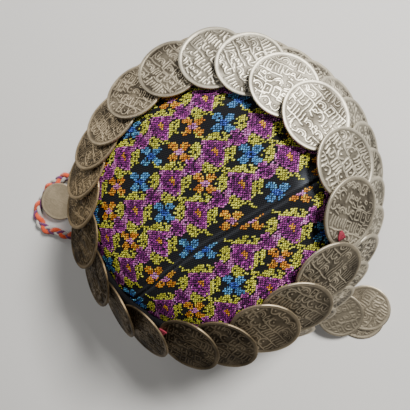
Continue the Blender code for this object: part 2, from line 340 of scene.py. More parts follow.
def beyond_seam(flat_x, flat_y):
    """Distance in mm of a point of the flat cloth from the seam, more than 0 on the second piece."""
    line = np.array(SEAM_LINE)[::-1]
    along = np.interp(flat_x, line[:, 0], line[:, 1])
    return (flat_y - along) * SEAM_COSINE


def seam_relief(flat_x, flat_y):
    """Sunk line where the two pieces meet, with a soft ridge of turned-in cloth on either side."""
    gap = beyond_seam(flat_x, flat_y)
    return 0.32 * np.exp(-(((np.abs(gap) - 1.4) / 0.8) ** 2)) - 1.2 * np.exp(-((gap / 0.65) ** 2))


def crown_point(flat_x, flat_y, lift):
    """A point over the crown in the part's frame, from its place on the flat cloth and its height over it."""
    x, y = lay_on_dome(flat_x, flat_y)
    z = dome_height(x, y) + seam_relief(flat_x, flat_y) + lift + 0.45 * np.clip(np.hypot(x, y) / 2 - 31.5, 0.0, 1.0)
    return np.stack([x, y, z], axis=-1) + RING_MIDDLE


def disc_grid(count):
    """A square grid drawn onto the unit disc: x = u √(1 - v²/2), y = v √(1 - u²/2), u and v from -1 to 1."""
    line = np.linspace(-1.0, 1.0, count)
    v, u = np.meshgrid(line, line, indexing="ij")
    spots = np.column_stack([(u * np.sqrt(1 - v**2 / 2)).ravel(), (v * np.sqrt(1 - u**2 / 2)).ravel()])
    return spots, grid_faces(count, count)


def even_weave(tree, surface, scale):
    """A plain weave's height: threads pass over and under, so it is the product of two waves."""
    warp = add(tree, "TexWave", {"Vector": surface, "Scale": scale}, bands_direction="X")
    weft = add(tree, "TexWave", {"Vector": surface, "Scale": scale}, bands_direction="Y")
    return add(tree, "Math", {0: warp.outputs["Fac"], 1: weft.outputs["Fac"]}, operation="MULTIPLY")


# Black cotton, even weave, two threads to a stitch. Too fine to read at this distance, so it is drawn at one thread
# to a stitch. The attribute rub greys it: a painted sheen on the ridges beside the seam, and a grey patch at the seam's
# end that is partly wear and partly painted sheen.
black_cotton, tree, shader, surface, space = start_material("black even-weave cotton")
weave = even_weave(tree, surface, 0.32)
fading = add(tree, "TexNoise", {"Vector": space, "Scale": 60.0, "Detail": 4.0})
lint = add(tree, "Math", {0: weave.outputs[0], 1: fading.outputs["Fac"]}, operation="MULTIPLY")
ground = add(tree, "MixRGB", {"Fac": lint.outputs[0], "Color1": linear("#060608"), "Color2": linear("#2a2b2f")})
# The rub attribute mixes in painted sheen and worn grey.
rub = add(tree, "Attribute", {}, attribute_name="rub")
rubbed = add(tree, "MixRGB", {"Fac": rub.outputs["Fac"], "Color1": ground.outputs[0], "Color2": linear("#565a60")})
bump = add(tree, "Bump", {"Height": weave.outputs[0], "Strength": 0.8, "Distance": 0.0003})
wire(shader, {"Base Color": rubbed.outputs[0], "Normal": bump.outputs[0]})
wire(shader, {"Roughness": 0.95, "Specular IOR Level": 0.25})

disc, disc_faces = disc_grid(CROWN_GRID)
crown_x, crown_y = (disc * CROWN_EDGE).T
crown_flat = lay_flat(crown_x, crown_y)
from_seam = np.abs(beyond_seam(*crown_flat))
seam_end = np.hypot(crown_flat[0] - GREY_SPOT[0], crown_flat[1] - GREY_SPOT[1])
# Painted sheen on the turned-in ridges beside the seam, and a grey patch at the seam's end that is partly wear and
# partly painted sheen.
seam_wear_and_painted_sheen = 0.16 * np.exp(-(((from_seam - 1.4) / 0.7) ** 2)) + 0.9 * np.exp(-((seam_end / 5.0) ** 2)) * (from_seam > 0.9)
crown_values = {"weave": np.column_stack(crown_flat), "rub": seam_wear_and_painted_sheen}
crown = add_piece("crown_cloth", crown_point(*crown_flat, 0.0), disc_faces, black_cotton, **crown_values)
wall = crown.modifiers.new("cloth wall", "SOLIDIFY")
wall.thickness = CLOTH_WALL * 0.001
wall.offset = -1.0
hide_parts("cap_crown")
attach(crown, "root")


# The cross stitch: stranded cotton worked over two threads each way, 1.09 mm a stitch, in a traditional layout of
# rose chains with buds and leaves and four-petalled flowers between them. Each stitch is two crossing legs.
THREADS = {
    "P": "#8e3082",  # purple roses
    "V": "#6a2264",  # their folds
    "L": "#cc70b2",  # their edges
    "G": "#e2de48",  # yellow-green leaves
    "O": "#ff9a2c",
    "K": "#ee8cce",
    "B": "#3a5cba",
    "C": "#5592ca",
}
ROSE_AND_LEAVES = (
    "..G........GGG.GG......",
    "...G.....GGGGG..GGG....",
    "...GGGG.GGGGGGG.GG.....",
    "......GGGGGG.GGGGG.....",
    "......LLLPPPLLPPPLL....",
    "...GG.LLPPPVLPPPPLL....",
    "..GGGG.LPPVPPVPPLL..GG.",
    ".GGGGG.PPPVVOVPPL.GGGG.",
    "..GGGGLPPVPOOOVPPGG.GG.",
    "GGG.GGLPVVPPOOVPPGGGGG.",
    "..GGGGLPPVVPPOPPLGG.G..",
    ".GGGG.LLPPVVPVPPPGGGG..",
    "..GG.LLLPPPVPPVPLGG.GG.",
    "....LLLL.LPPPPPPLGG....",
    "....LL.GGG.LLPPPLG.....",
    "......GGGGGG.LLPL......",
    "......GG.GGGGG.GG......",
    ".......GGGGG.GG.GG.....",
    "........GGGGG....GGG...",
    ".........GGG...........",
)
BUD = (
    ".....LL......",
    "...LPPL...LL.",
    "...LPPVPLLLL.",
    "....PVVPPLL..",
    "...LPVVVPPL..",
    "..LPPVPPPPL..",
    ".LLPPLPPPL...",
    ".LLL.PLLL....",
    "LLL..........",
)
BLUE_FLOWER = (
    ".CCC...CCC.",
    "CCCCC.CCCCC",
    "CCCCC.CCCC.",
    "..CCBBBCC..",
    "...BBBBB...",
    "..CCBBBCC..",
    ".CCCC.CCCCC",
    "CCCCC.CCCCC",
    ".CCC...CCC.",
)
ORANGE_FLOWER = (
    ".OOO...OOO.",
    "OOOOO.OOOOO",
    "OOOOO.OOOO.",
    "..OOOKKOO..",
    "...KKKKK...",
    "..OOKKKOO..",
    ".OOOO.OOOOO",
    "OOOOO.OOOOO",
    ".OOO...OOO.",
)
# Places on the chart, in columns and rows: the chart's own middle, and a motif's from the rose before it.
CHART_MIDDLE = 130
CHAIN_STEP = (20, -14)
BUD_PLACE = (10, -7)
FLOWER_ABOVE = (3, -14)
FLOWER_BELOW = (-4, 14)
ABOVE_BY_SEAM = (2, -17)
BELOW_BY_SEAM = (-4, 16)
ROSE_REACH = (12, 9)
# Painted shade on the under leg, as the share of the upper leg's colour that it keeps, and the share of stitches that
# wear has taken.
UNDER_LEG_PAINTED_SHADE = 0.4
WORN_AWAY = 0.025
SEAM_CLEARANCE = 0.75
EDGE_CLEARANCE = 0.8
LEGS = (
    # way over the cell, length and half width in cells: the under leg, then the upper one
    (1.0, 0.86, 0.16),
    (-1.0, 0.90, 0.18),
)


def work_motif(chart, motif, i, j, reach=None):
    """Work a motif into the chart round column i and row j; a dot leaves what is there."""
    cells = np.array([list(row) for row in motif])
    left, top = reach or (len(cells[0]) // 2, len(cells) // 2)
    left = CHART_MIDDLE + i - left
    top = CHART_MIDDLE + j - top
    window = chart[top:top + cells.shape[0], left:left + cells.shape[1]]
    window[cells != "."] = cells[cells != "."]


def work_chain(chart, start, flowers_above, flowers_below, above_at=FLOWER_ABOVE, below_at=FLOWER_BELOW):
    """A chain of roses and buds through one rose, with the flowers that alternate above and below it."""
    roses = [(turn, start[0] + turn * CHAIN_STEP[0], start[1] + turn * CHAIN_STEP[1]) for turn in range(-4, 5)]
    for turn, i, j in roses:
        above = flowers_above[turn % len(flowers_above)]
        below = flowers_below[turn % len(flowers_below)]
        work_motif(chart, above, i + above_at[0], j + above_at[1])
        work_motif(chart, below, i + below_at[0], j + below_at[1])
        work_motif(chart, ROSE_AND_LEAVES, i, j, ROSE_REACH)
    for _, i, j in roses:
        work_motif(chart, BUD, i + BUD_PLACE[0], j + BUD_PLACE[1])


def drape_first(i, j):
    """Place on the flat cloth, in mm, of a stitch of the first piece, whose rows run a little askew."""
    x = 13.5 - 1.052 * i - 0.295 * j + 0.0017 * i * j
    y = -9.05 - 0.2525 * i + 1.058 * j + 0.0006 * i * i
    return x, y


def drape_second(i, j):
    """The same for the second piece, past the seam."""
    x = -14.07 - 1.009 * i - 0.238 * j + 0.0016 * i * j
    y = 35.9 - 0.3245 * i + 1.035 * j + 0.0038 * i * i + 0.0051 * i * j + 0.0033 * j * j
    return x, y


def stitch_legs(chart, drape, side):
    """Points of all stitches on one piece of cloth: each leg an arched strip across its cell, the second on top."""
    rows, columns = np.nonzero(chart != ".")
    letters = chart[rows, columns]
    i = columns - CHART_MIDDLE
    j = rows - CHART_MIDDLE
    x, y = drape(i, j)
    rng = np.random.default_rng(7)
    on_cloth = (side * beyond_seam(x, y) > SEAM_CLEARANCE) & (np.hypot(x, y) < dome_arcs[-1] - EDGE_CLEARANCE)
    keep = on_cloth & (rng.random(len(x)) > WORN_AWAY)
    i, j, letters = i[keep].astype(float), j[keep].astype(float), letters[keep]
    along = np.array([0.0, 0.34, 0.66, 1.0])
    across = np.array([-1.0, 0.0, 1.0])
    t, w = np.meshgrid(along, across, indexing="ij")
    arch = np.sin(np.pi * t) * 0.24
    thread_round = 0.34 * (1 - w**2) + arch
    points, uv = [], []
    shift = 0.09 * rng.standard_normal((2, len(i), 1, 1))
    for leg, (way, reach, half_width) in enumerate(LEGS):
        pull = 1 + 0.10 * rng.standard_normal((2, len(i), 1, 1))
        slant = 0.12 * rng.standard_normal((len(i), 1, 1))
        along_i, along_j = (t - 0.5) * reach * pull[0], (t - 0.5) * reach * way * pull[1]
        px, py = drape(
            i[:, None, None] + along_i - w * half_width * way - slant * along_j + shift[0],
            j[:, None, None] + along_j + w * half_width + slant * along_i + shift[1],
        )
        lift = thread_round + leg * 0.18 - 0.14 + 0.05 * pull[0]
        points.append(crown_point(px, py, lift).reshape(-1, 3))
        strand = np.broadcast_to(np.stack([t * 1.5, w * 0.35], axis=-1), (len(i), 4, 3, 2))
        uv.append(strand.reshape(-1, 2) * np.array([1.0, way]))
    strip = grid_faces(4, 3)
    count = 2 * len(i)
    faces = (strip[None] + 12 * np.arange(count)[:, None, None]).reshape(-1, 4)
    skein = {letter: np.array(linear(colour)[:3]) for letter, colour in THREADS.items()}
    colours = np.array([skein[letter] for letter in letters])
    colours = colours * np.exp(0.42 * rng.standard_normal((len(colours), 1)) - 0.1)
    # Painted shade and highlight: each leg is painted dark where it dips into the cloth and at its edges, and painted
    # bright at its middle.
    painted_dip_shade_and_highlight = ((0.02 + 1.55 * np.sin(np.pi * t)) * (1 - 0.6 * w**2)).ravel()
    upper = np.clip(colours[:, None] * painted_dip_shade_and_highlight[:, None], 0.0, 0.95).reshape(-1, 3)
    # The under leg is painted darker, as painted shade.
    return np.vstack(points), faces, np.vstack([UNDER_LEG_PAINTED_SHADE * upper, upper]), np.vstack(uv)


# Stranded cotton, soft and slightly glossy, faded a little; the fibres run along each leg. Its colour attribute holds
# the threads' dyes with painted shade and painted highlight along each leg.
stitch_cotton, tree, shader, surface, space = start_material("stranded embroidery cotton")
dye = add(tree, "Attribute", {}, attribute_name="dye")
fibres = {"Vector": surface, "Scale": 1.1, "Distortion": 0.8}
strands = add(tree, "TexWave", fibres, bands_direction="Y")
wear = add(tree, "TexNoise", {"Vector": space, "Scale": 110.0, "Detail": 4.0})
fading = {"From Min": 0.3, "From Max": 0.7, "To Min": 0.72, "To Max": 1.15}
worn = add(tree, "MapRange", {"Value": wear.outputs["Fac"], **fading})
faded = add(tree, "VectorMath", {0: dye.outputs["Color"], "Scale": worn.outputs[0]}, operation="SCALE")
bump = add(tree, "Bump", {"Height": strands.outputs["Fac"], "Strength": 0.5, "Distance": 0.0001})
wire(shader, {"Base Color": faded.outputs["Vector"], "Normal": bump.outputs[0]})
wire(shader, {"Roughness": 0.62, "Specular IOR Level": 0.25})

orange_first = (ORANGE_FLOWER, BLUE_FLOWER)
blue_first = (BLUE_FLOWER, ORANGE_FLOWER)
first_chart = np.full((2 * CHART_MIDDLE, 2 * CHART_MIDDLE), ".")
for chain_start in ((-20, -40), (-7, -26), (0, 0)):
    work_chain(first_chart, chain_start, orange_first, blue_first)
work_chain(first_chart, (13, 14), orange_first, blue_first, below_at=BELOW_BY_SEAM)
second_chart = np.full((2 * CHART_MIDDLE, 2 * CHART_MIDDLE), ".")
work_chain(second_chart, (0, 0), blue_first, orange_first, above_at=ABOVE_BY_SEAM)
work_chain(second_chart, (13, 14), blue_first, orange_first)
work_motif(second_chart, ORANGE_FLOWER, 2 * CHAIN_STEP[0] + ABOVE_BY_SEAM[0], 2 * CHAIN_STEP[1] + ABOVE_BY_SEAM[1])
for name, chart, drape, side in (
    ("cross_stitch_first", first_chart, drape_first, -1.0),
    ("cross_stitch_second", second_chart, drape_second, 1.0),
):
    points, faces, colours, uv = stitch_legs(chart, drape, side)
    stitches = add_piece(name, points, faces, stitch_cotton, dye=colours, strand=uv)
    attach(stitches, "root")


# The side of the cap: dark red woven cotton from under the coins down to a turned-up hem. It leans out towards one
# corner, as a soft cap slumps, and draws in a little between the stitches that hold the coins.
BAND_LEVELS = (
    # height, radius, lean towards LEAN_BEARING, dip towards DIP_BEARING, in mm
    (71.8, 65.9, 0.3, 1.7),
    (67.4, 70.0, 1.0, 1.5),
    (61.5, 75.0, 2.5, 1.0),
    (52.0, 80.3, 5.5, 0.0),
    (40.0, 84.0, 7.5, 0.0),
    (26.0, 86.0, 8.0, 0.0),
    (10.0, 87.0, 8.0, 0.0),
    (0.0, 87.0, 8.0, 0.0),
)
LEAN_BEARING = math.radians(316.0)
HEM_HEIGHT = 8.0
BAND_WALL = 1.5
BAND_ROWS = 64
BAND_COLUMNS = 200


def lean_over(bearing, height, radius, lean, dip):
    """Points of a circle round the cap that is moved by a lean and tipped by a dip."""
    x = radius * np.cos(bearing) + lean * math.cos(LEAN_BEARING)
    y = radius * np.sin(bearing) + lean * math.sin(LEAN_BEARING)
    z = height - dip * np.cos(bearing - DIP_BEARING)
    return np.stack(np.broadcast_arrays(x, y, z), axis=-1) + RING_MIDDLE


def band_point(bearing, height, standoff):
    """A point off the side of the cap, from the levels above and below it."""
    levels = np.array(BAND_LEVELS)[::-1]
    radius, lean, dip = (np.interp(height, levels[:, 0], levels[:, column]) for column in (1, 2, 3))
    return lean_over(bearing, height, radius + standoff, lean, dip)


# Dark red cotton, a coarse plain weave of about 0.9 mm, browned by handling, with paler rubbed threads.
red_cotton, tree, shader, surface, space = start_material("dark red woven cotton")
weave = even_weave(tree, surface, 0.35)
soil = add(tree, "TexNoise", {"Vector": space, "Scale": 35.0, "Detail": 6.0})
soiled = add(tree, "MixRGB", {"Fac": soil.outputs["Fac"], "Color1": linear("#46101a"), "Color2": linear("#2c1412")})
rubbed = add(tree, "MixRGB", {"Fac": weave.outputs[0], "Color1": soiled.outputs[0], "Color2": linear("#6c2328")})
bump = add(tree, "Bump", {"Height": weave.outputs[0], "Strength": 0.9, "Distance": 0.0003})
wire(shader, {"Base Color": rubbed.outputs[0], "Normal": bump.outputs[0]})
wire(shader, {"Roughness": 0.9, "Sheen Weight": 0.2})

# The cloth's form: a smooth curve through the levels, puckered at the sewn tape, slumped and creased between the
# tape and the rim, and a little thicker at the hem.
levels = smooth_curve(BAND_LEVELS, BAND_ROWS)
heights, radii, leans, dips = (levels[:, column][:, None] for column in range(4))
bearings = full_turn(BAND_COLUMNS)[None]
pucker = 0.25 * np.sin(38 * bearings) * np.exp(-((heights - 56.0) / 9.0) ** 2) - 0.25
slump = 0.6 * np.sin(3 * bearings + 1.0) * np.sin(np.pi * np.clip(heights / 60.0, 0.0, 1.0)) - 1.2
creases = np.sin(9 * bearings + 0.05 * heights + 1.3 * np.sin(2 * bearings)) ** 3
slump = slump + 0.9 * (creases * np.sin(5 * bearings - 0.08 * heights))
loose = np.clip((60.0 - heights) / 20.0, 0.0, 1.0)
off_rim = np.clip(heights / 8.0, 0.0, 1.0)
hem = 0.35 / (1 + np.exp((heights - HEM_HEIGHT) / 0.35))
radii = radii + pucker + slump * loose * off_rim + hem
band_points = lean_over(bearings, heights, radii, leans, dips).reshape(-1, 3)
band_uv = np.stack(np.broadcast_arrays(bearings * 85.0, heights), axis=-1).reshape(-1, 2)
band_faces = grid_faces(BAND_ROWS, BAND_COLUMNS, closed=True)[:, ::-1]
band = add_piece("band_cloth", band_points, band_faces, red_cotton, weave=band_uv)
wall = band.modifiers.new("cloth wall", "SOLIDIFY")
wall.thickness = BAND_WALL * 0.001
wall.offset = -1.0
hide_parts("side_band")
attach(band, "root")


# The hem's running stitches: one row of red thread, 3 mm stitches with 2 mm between them.
HEM_STITCHES = 108
STITCH_LENGTH = 3.0


def running_stitches(height, count, reach):
    """Short arched threads round the band: each follows the wall and sinks into it at both ends."""
    parts = []
    t = np.linspace(0.0, 1.0, 7)
    for middle in full_turn(count):
        bearing = middle + (t - 0.5) * reach / 88.0
        path = band_point(bearing, np.full(7, height), 0.55 * np.sin(np.pi * t) - 0.15)
        parts.append(tube(path, 0.28, 5, (0.0, 0.0, 1.0)))
    return parts


def sew(name, parts):
    """The red threads of one row of sewing, as one piece."""
    points, faces, uv = join_pieces(parts)
    threads = add_piece(name, points, faces, red_thread, yarn=uv)
    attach(threads, "root")


sew("hem_stitches", running_stitches(HEM_HEIGHT - 1.5, HEM_STITCHES, STITCH_LENGTH))


# The backing that the large coins are sewn to: a strip of the crown's black cotton folded into a soft pad, laid
# round the crown's edge and caught down through the cap.
BACKING_HEIGHT = 69.0
BACKING_SLOPE = 0.62
BACKING_REACH = 4.0
BACKING_THICKNESS = 1.5
BACKING_SIDES = 10
BACKING_STEPS = 240


def coin_backing(bearings, reach, thickness):
    """An oval carried round the cap: reach along the slope and thickness out of it, both fuller where coins stand."""
    turn = full_turn(BACKING_SIDES)[:, None]
    fullness = 1 + 0.25 * np.cos(bearings - 1.0) + 0.05 * np.sin(21 * bearings)
    foot = band_point(bearings, np.full(bearings.shape, BACKING_HEIGHT), 0.9)
    along = reach * fullness * np.cos(turn)
    out = thickness * fullness * np.sin(turn) + 0.8 * fullness
    sideways = along * math.cos(BACKING_SLOPE) + out * math.sin(BACKING_SLOPE)
    rise = out * math.cos(BACKING_SLOPE) - along * math.sin(BACKING_SLOPE)
    x = foot[:, 0] + sideways * np.cos(bearings)
    y = foot[:, 1] + sideways * np.sin(bearings)
    z = foot[:, 2] + rise
    uv = np.stack(np.broadcast_arrays(bearings * 70.0, turn * reach), axis=-1)
    return np.stack([x, y, z], axis=-1).reshape(-1, 3), uv.reshape(-1, 2)


backing_points, backing_uv = coin_backing(full_turn(BACKING_STEPS), BACKING_REACH, BACKING_THICKNESS)
first_row = np.arange(BACKING_STEPS)
last_row = (BACKING_SIDES - 1) * BACKING_STEPS + first_row
closing = np.column_stack([last_row, np.roll(last_row, -1), np.roll(first_row, -1), first_row])
backing_faces = np.vstack([grid_faces(BACKING_SIDES, BACKING_STEPS, closed=True), closing])
backing = add_piece("coin_backing", backing_points, backing_faces, black_cotton, weave=backing_uv)
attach(backing, "root")


# The row of small coins: silver coins of 29 mm, each hung on a shank of thread from a tape round the cap, so that
# their lower halves show under the ring. Like the large ones they are struck, then worn and tarnished.
SMALL_RADIUS = 14.5
SMALL_THICKNESS = 1.0
SMALL_GRID = 36
LOWER_COINS = 38
LOWER_TWIST = 11.0
# Bearing and slope of the small coins, in degrees: flattest in front, steepest behind on the right.
LOWER_SLOPES = ((60.0, 58.0), (110.0, 62.0), (195.0, 62.0), (285.0, 43.0), (315.0, 54.0), (340.0, 57.0))
SHANK_LENGTH = 3.9
SHANK_INSET = 3.0
TAPE_HEIGHT = 57.5
TAPE_STANDOFF = 1.0
TAPE_THICKNESS = 1.0
TAPE_WIDTH = 4.0
HOLE_RADIUS = 1.2
HOLE_REACH = 2.2
HOLE_INSET = 3.2
STROKE = 0.36
RIM_WIDTH = 1.7
FIELD_DEPTH = 0.45
FAR_OFF = 9.0


def to_bar(x, y, start, end):
    """Distance to a straight bar between two points."""
    run = np.subtract(end, start)
    share = np.clip(((x - start[0]) * run[0] + (y - start[1]) * run[1]) / (run @ run), 0.0, 1.0)
    return np.hypot(x - start[0] - share * run[0], y - start[1] - share * run[1])


def to_arc(x, y, middle, radius, open_way=None, keep=0.3):
    """Distance to a ring, or to the part of it that lies away from its open side."""
    dx, dy = x - middle[0], y - middle[1]
    ring = np.abs(np.hypot(dx, dy) - radius)
    if open_way is None:
        return ring
    return np.maximum(ring, dx * math.cos(open_way) + dy * math.sin(open_way) - keep * radius)


def struck_marks(x, y, radius, seed):
    """Raised marks from 0 to 1 by the distance to the nearest stroke: cells of bars, boxes, rings, bows and dots."""
    rng = np.random.default_rng(seed)
    strokes = [np.full(x.shape, FAR_OFF)]
    field = radius - RIM_WIDTH - 0.5
    inside = np.hypot(x, y) < field
    x, y = (
        x + 0.22 * np.sin(0.75 * y + seed) + 0.08 * np.sin(2.1 * y + 0.6 * x - 2.0 * seed),
        y + 0.22 * np.sin(0.65 * x + 2.0 * seed) + 0.08 * np.sin(1.9 * x + 0.7 * y - seed),
    )
    ranks = 5 if radius > 16.0 else 4
    rank = 2 * field / ranks
    for row in range(ranks):
        level = (row + 0.5) * rank - field
        half = math.sqrt(max(field**2 - (abs(level) - rank * 0.15) ** 2, 1.0))
        tall = rank * 0.37
        across = -half + rng.uniform(0.2, 0.9)
        while across < half - 0.4:
            kind = rng.integers(0, 8)
            lean = rng.uniform(-0.3, 0.3)
            if kind < 2:
                count = int(rng.integers(2, 4))
                gap = rng.uniform(1.45, 1.95)
                for bar in range(count):
                    foot = across + bar * gap
                    low, top = tall * rng.uniform(0.5, 1.35, 2)
                    strokes.append(to_bar(x, y, (foot - lean, level - low), (foot + lean, level + top)))
                width = count * gap
            elif kind < 4:
                wide = rng.uniform(2.3, 3.7)
                far, low, top = across + wide, level - tall, level + tall
                corners = [(across, low), (far, low), (far, top), (across, top)]
                sides = list(zip(corners, corners[1:] + corners[:1]))
                strokes += [to_bar(x, y, *side) for side in sides[int(rng.integers(0, 2)):]]
                strokes.append(to_bar(x, y, (across + 0.45 * wide, level - 0.4), (across + 0.55 * wide, level + 0.4)))
                width = wide + 1.5
            elif kind == 4:
                strokes.append(to_arc(x, y, (across + 2.4, level + lean), 2.3, rng.uniform(0.0, 6.2), 0.25))
                strokes.append(np.hypot(x - across - 2.4, y - level - lean) - 0.15)
                width = 5.2
            elif kind == 5:
                bow = (across + 1.9, level + 0.9)
                strokes += [to_arc(x, y, bow, reach, 1.57 + lean, 0.1) for reach in (1.2, 2.35)]
                width = 4.3
            elif kind == 6:
                strokes.append(to_arc(x, y, (across + 0.8, level - 0.9), 0.8))
                strokes.append(to_bar(x, y, (across - 0.2, level + tall), (across + 2.3, level + tall * 0.6)))
                strokes.append(np.hypot(x - across - 1.9, y - level + 0.3) - 0.1)
                width = 2.8
            else:
                strokes.append(to_arc(x, y, (across + 1.7, level - 0.6), 1.75, -1.57 + lean, 0.1))
                strokes.append(to_bar(x, y, (across + 1.7, level - tall), (across + 1.7, level)))
                width = 3.9
            across += width
        if row < ranks - 1:
            edge = level + rank / 2
            half = math.sqrt(field**2 - edge**2) * 0.98
            start, end = sorted(rng.uniform(-half, half, 2))
            strokes += [to_bar(x, y, (a, edge), (b, edge)) for a, b in ((-half, start), (end, half))]
    near = np.where(inside, np.minimum.reduce(strokes), FAR_OFF)
    return 1 / (1 + np.exp((near - STROKE) / 0.12))


def strike_coin(bm, radius, thickness, count, seed, worn_way, tarnish, frame_matrix, upright, depth=1.0, painted_light_share=1.0):
    """Add one struck coin: its raised face on a disc grid, a hole near one edge, a plain wall and back.

    worn_way is the side that wear has smoothed, depth the share of the relief that is left, and polish a factor on the
    whole coin's colour that paints shade over it below 1 and light above 1.
    """
    rng = np.random.default_rng(seed + 1000)
    spots, faces = disc_grid(count)
    x, y = (spots * radius).T
    hole_x = HOLE_INSET - radius
    off_hole = np.hypot(x - hole_x, y)
    spread = HOLE_RADIUS + off_hole * (1 - HOLE_RADIUS / HOLE_REACH)
    pushed = np.where(off_hole < HOLE_REACH, spread, off_hole)
    share = pushed / np.maximum(off_hole, 1e-4)
    middle = np.column_stack([x, y])[faces].mean(axis=1)
    cell = 2 * radius / count
    faces = faces[np.hypot(middle[:, 0] - hole_x, middle[:, 1]) > 0.75 * cell]
    x, y = hole_x + (x - hole_x) * share, y * share
    turn = upright + rng.normal(0.0, 0.3)
    marks = struck_marks(x * math.cos(turn) + y * math.sin(turn), y * math.cos(turn) - x * math.sin(turn), radius, seed)
    reach = np.hypot(x, y) / radius
    rub = (x * math.cos(worn_way) + y * math.sin(worn_way)) / radius
    rub = rub + 0.25 * np.sin(4.1 * spots[:, 0] + seed) * np.sin(3.3 * spots[:, 1] + 2.0 * seed)
    wear = depth * np.clip(1.15 - 1.0 * np.clip(rub - 0.15, 0.0, 1.0), 0.35, 1.0)
    rim = 1 / (1 + np.exp((radius - RIM_WIDTH - reach * radius) / 0.18))
    relief = np.maximum(marks * wear, rim * (0.1 + 0.8 * depth))
    # Painted shade: the ground is darkened close round each raised stroke.
    stroke_edge_painted_shade = 4 * marks * (1 - marks)
    ground = 0.5 - 0.36 * depth
    rubbed = painted_light_share * np.clip(ground + (1 - ground) * marks * wear - 0.34 * stroke_edge_painted_shade * depth + 0.34 * rim * depth, 0.0, 1.0)
    soft_edge = 0.22 * np.clip((reach - 0.975) / 0.025, 0.0, 1.0) ** 2
    dish = 0.10 * np.sin(2.3 * spots[:, 0] + 1.7 * seed) * np.sin(2.0 * spots[:, 1] + seed)
    z = thickness / 2 - FIELD_DEPTH + FIELD_DEPTH * relief - soft_edge + dish * (1 - reach**2) * 0.8
    mesh = bpy.data.meshes.new("blank")
    mesh.from_pydata(np.column_stack([x, y, z]) * 0.001, [], faces)
    # The relief attribute holds the coin's brightness: rubbed metal and tarnished ground, with painted shade by the
    # strokes and the whole coin scaled for painted light and shade.
    mesh.attributes.new("relief", "FLOAT", "POINT").data.foreach_set("value", rubbed)
    mesh.attributes.new("tarnish", "FLOAT", "POINT").data.foreach_set("value", np.full(len(x), tarnish))
    coin = bmesh.new()
    coin.from_mesh(mesh)
    loose = [corner for corner in coin.verts if not corner.link_faces]
    bmesh.ops.delete(coin, geom=loose, context="VERTS")
    walls = bmesh.ops.extrude_edge_only(coin, edges=[edge for edge in coin.edges if edge.is_boundary])["geom"]
    low = [item for item in walls if isinstance(item, bmesh.types.BMVert)]
    bmesh.ops.scale(coin, vec=(1.0, 1.0, 0.0), verts=low)
    bmesh.ops.translate(coin, vec=(0.0, 0.0, -thickness * 0.0005), verts=low)
    bottom = [item for item in walls if isinstance(item, bmesh.types.BMEdge) and item.is_boundary]
    bmesh.ops.triangle_fill(coin, edges=bottom, use_beauty=True)
    bmesh.ops.recalc_face_normals(coin, faces=coin.faces)
    bmesh.ops.transform(coin, matrix=frame_matrix, verts=coin.verts)
    coin.to_mesh(mesh)
    coin.free()
    bm.from_mesh(mesh)
    bpy.data.meshes.remove(mesh)


def finish_coins(name, bm):
    """Put a bmesh of struck coins into the scene as one shaded piece."""
    mesh = bpy.data.meshes.new(name)
    bm.to_mesh(mesh)
    bm.free()
    piece = show_mesh(name, mesh, silver)
    mesh.set_sharp_from_angle(angle=math.radians(55))
    return piece


def coin_frame(bearing, slope, twist):
    """The turn of a coin on the cap: X counterclockwise round it, Y up the slope and Z out of its face."""
    outward = Vector((math.cos(bearing), math.sin(bearing), 0.0))
    along = Vector((-math.sin(bearing), math.cos(bearing), 0.0))
    up = Vector((0.0, 0.0, 1.0))
    normal = outward * math.sin(slope) + up * math.cos(slope)
    x_axis = along * math.cos(twist) + normal * math.sin(twist)
    z_axis = normal * math.cos(twist) - along * math.sin(twist)
    return Matrix((x_axis, up * math.sin(slope) - outward * math.cos(slope), z_axis)).transposed()


# Coin silver, struck and long worn: the high strokes and rims are rubbed bright, the ground has gone grey-brown,
# and some coins have a tan tarnish all over. Fine wear breaks up the gloss. The relief attribute also carries painted
# shade beside the strokes, painted shade over the whole of some coins, and painted light over the worn left drop.
silver, tree, shader, _, space = start_material("worn coin silver")
relief = add(tree, "Attribute", {}, attribute_name="relief")
tarnish = add(tree, "Attribute", {}, attribute_name="tarnish")
cloudy = {"Scale": 90.0, "Detail": 5.0, "Roughness": 0.6}
blotch = add(tree, "TexNoise", {"Vector": space, **cloudy})
grain = add(tree, "TexNoise", {"Vector": space, "Scale": 1400.0, "Detail": 3.0})
spread = {"From Min": 0.3, "From Max": 0.7, "To Min": -0.16, "To Max": 0.12}
uneven = add(tree, "MapRange", {"Value": blotch.outputs["Fac"], **spread})
bright = add(tree, "Math", {0: relief.outputs["Fac"], 1: uneven.outputs[0]}, operation="ADD", use_clamp=True)
clean = add(tree, "MixRGB", {"Fac": bright.outputs[0], "Color1": linear("#48433a"), "Color2": linear("#fff8e2")})
tanned = add(tree, "MixRGB", {"Fac": bright.outputs[0], "Color1": linear("#3a2d1c"), "Color2": linear("#ecca94")})
metals = {"Color1": clean.outputs[0], "Color2": tanned.outputs[0]}
colour = add(tree, "MixRGB", {"Fac": tarnish.outputs["Fac"], **metals})
rough = add(tree, "MapRange", {"Value": bright.outputs[0], "To Min": 0.62, "To Max": 0.4})
bump = add(tree, "Bump", {"Height": grain.outputs["Fac"], "Strength": 0.25, "Distance": 0.0001})
wire(shader, {"Base Color": colour.outputs[0], "Normal": bump.outputs[0]})
wire(shader, {"Roughness": rough.outputs[0], "Metallic": 1.0})


def tape_level(bearing):
    """Height of the tape's middle, higher in front and behind than at the sides."""
    front = np.cos(bearing - math.radians(270.0))
    ends = np.cos(2 * (bearing - math.radians(280.0)))
    return TAPE_HEIGHT + 1.5 * front + 2.2 * ends


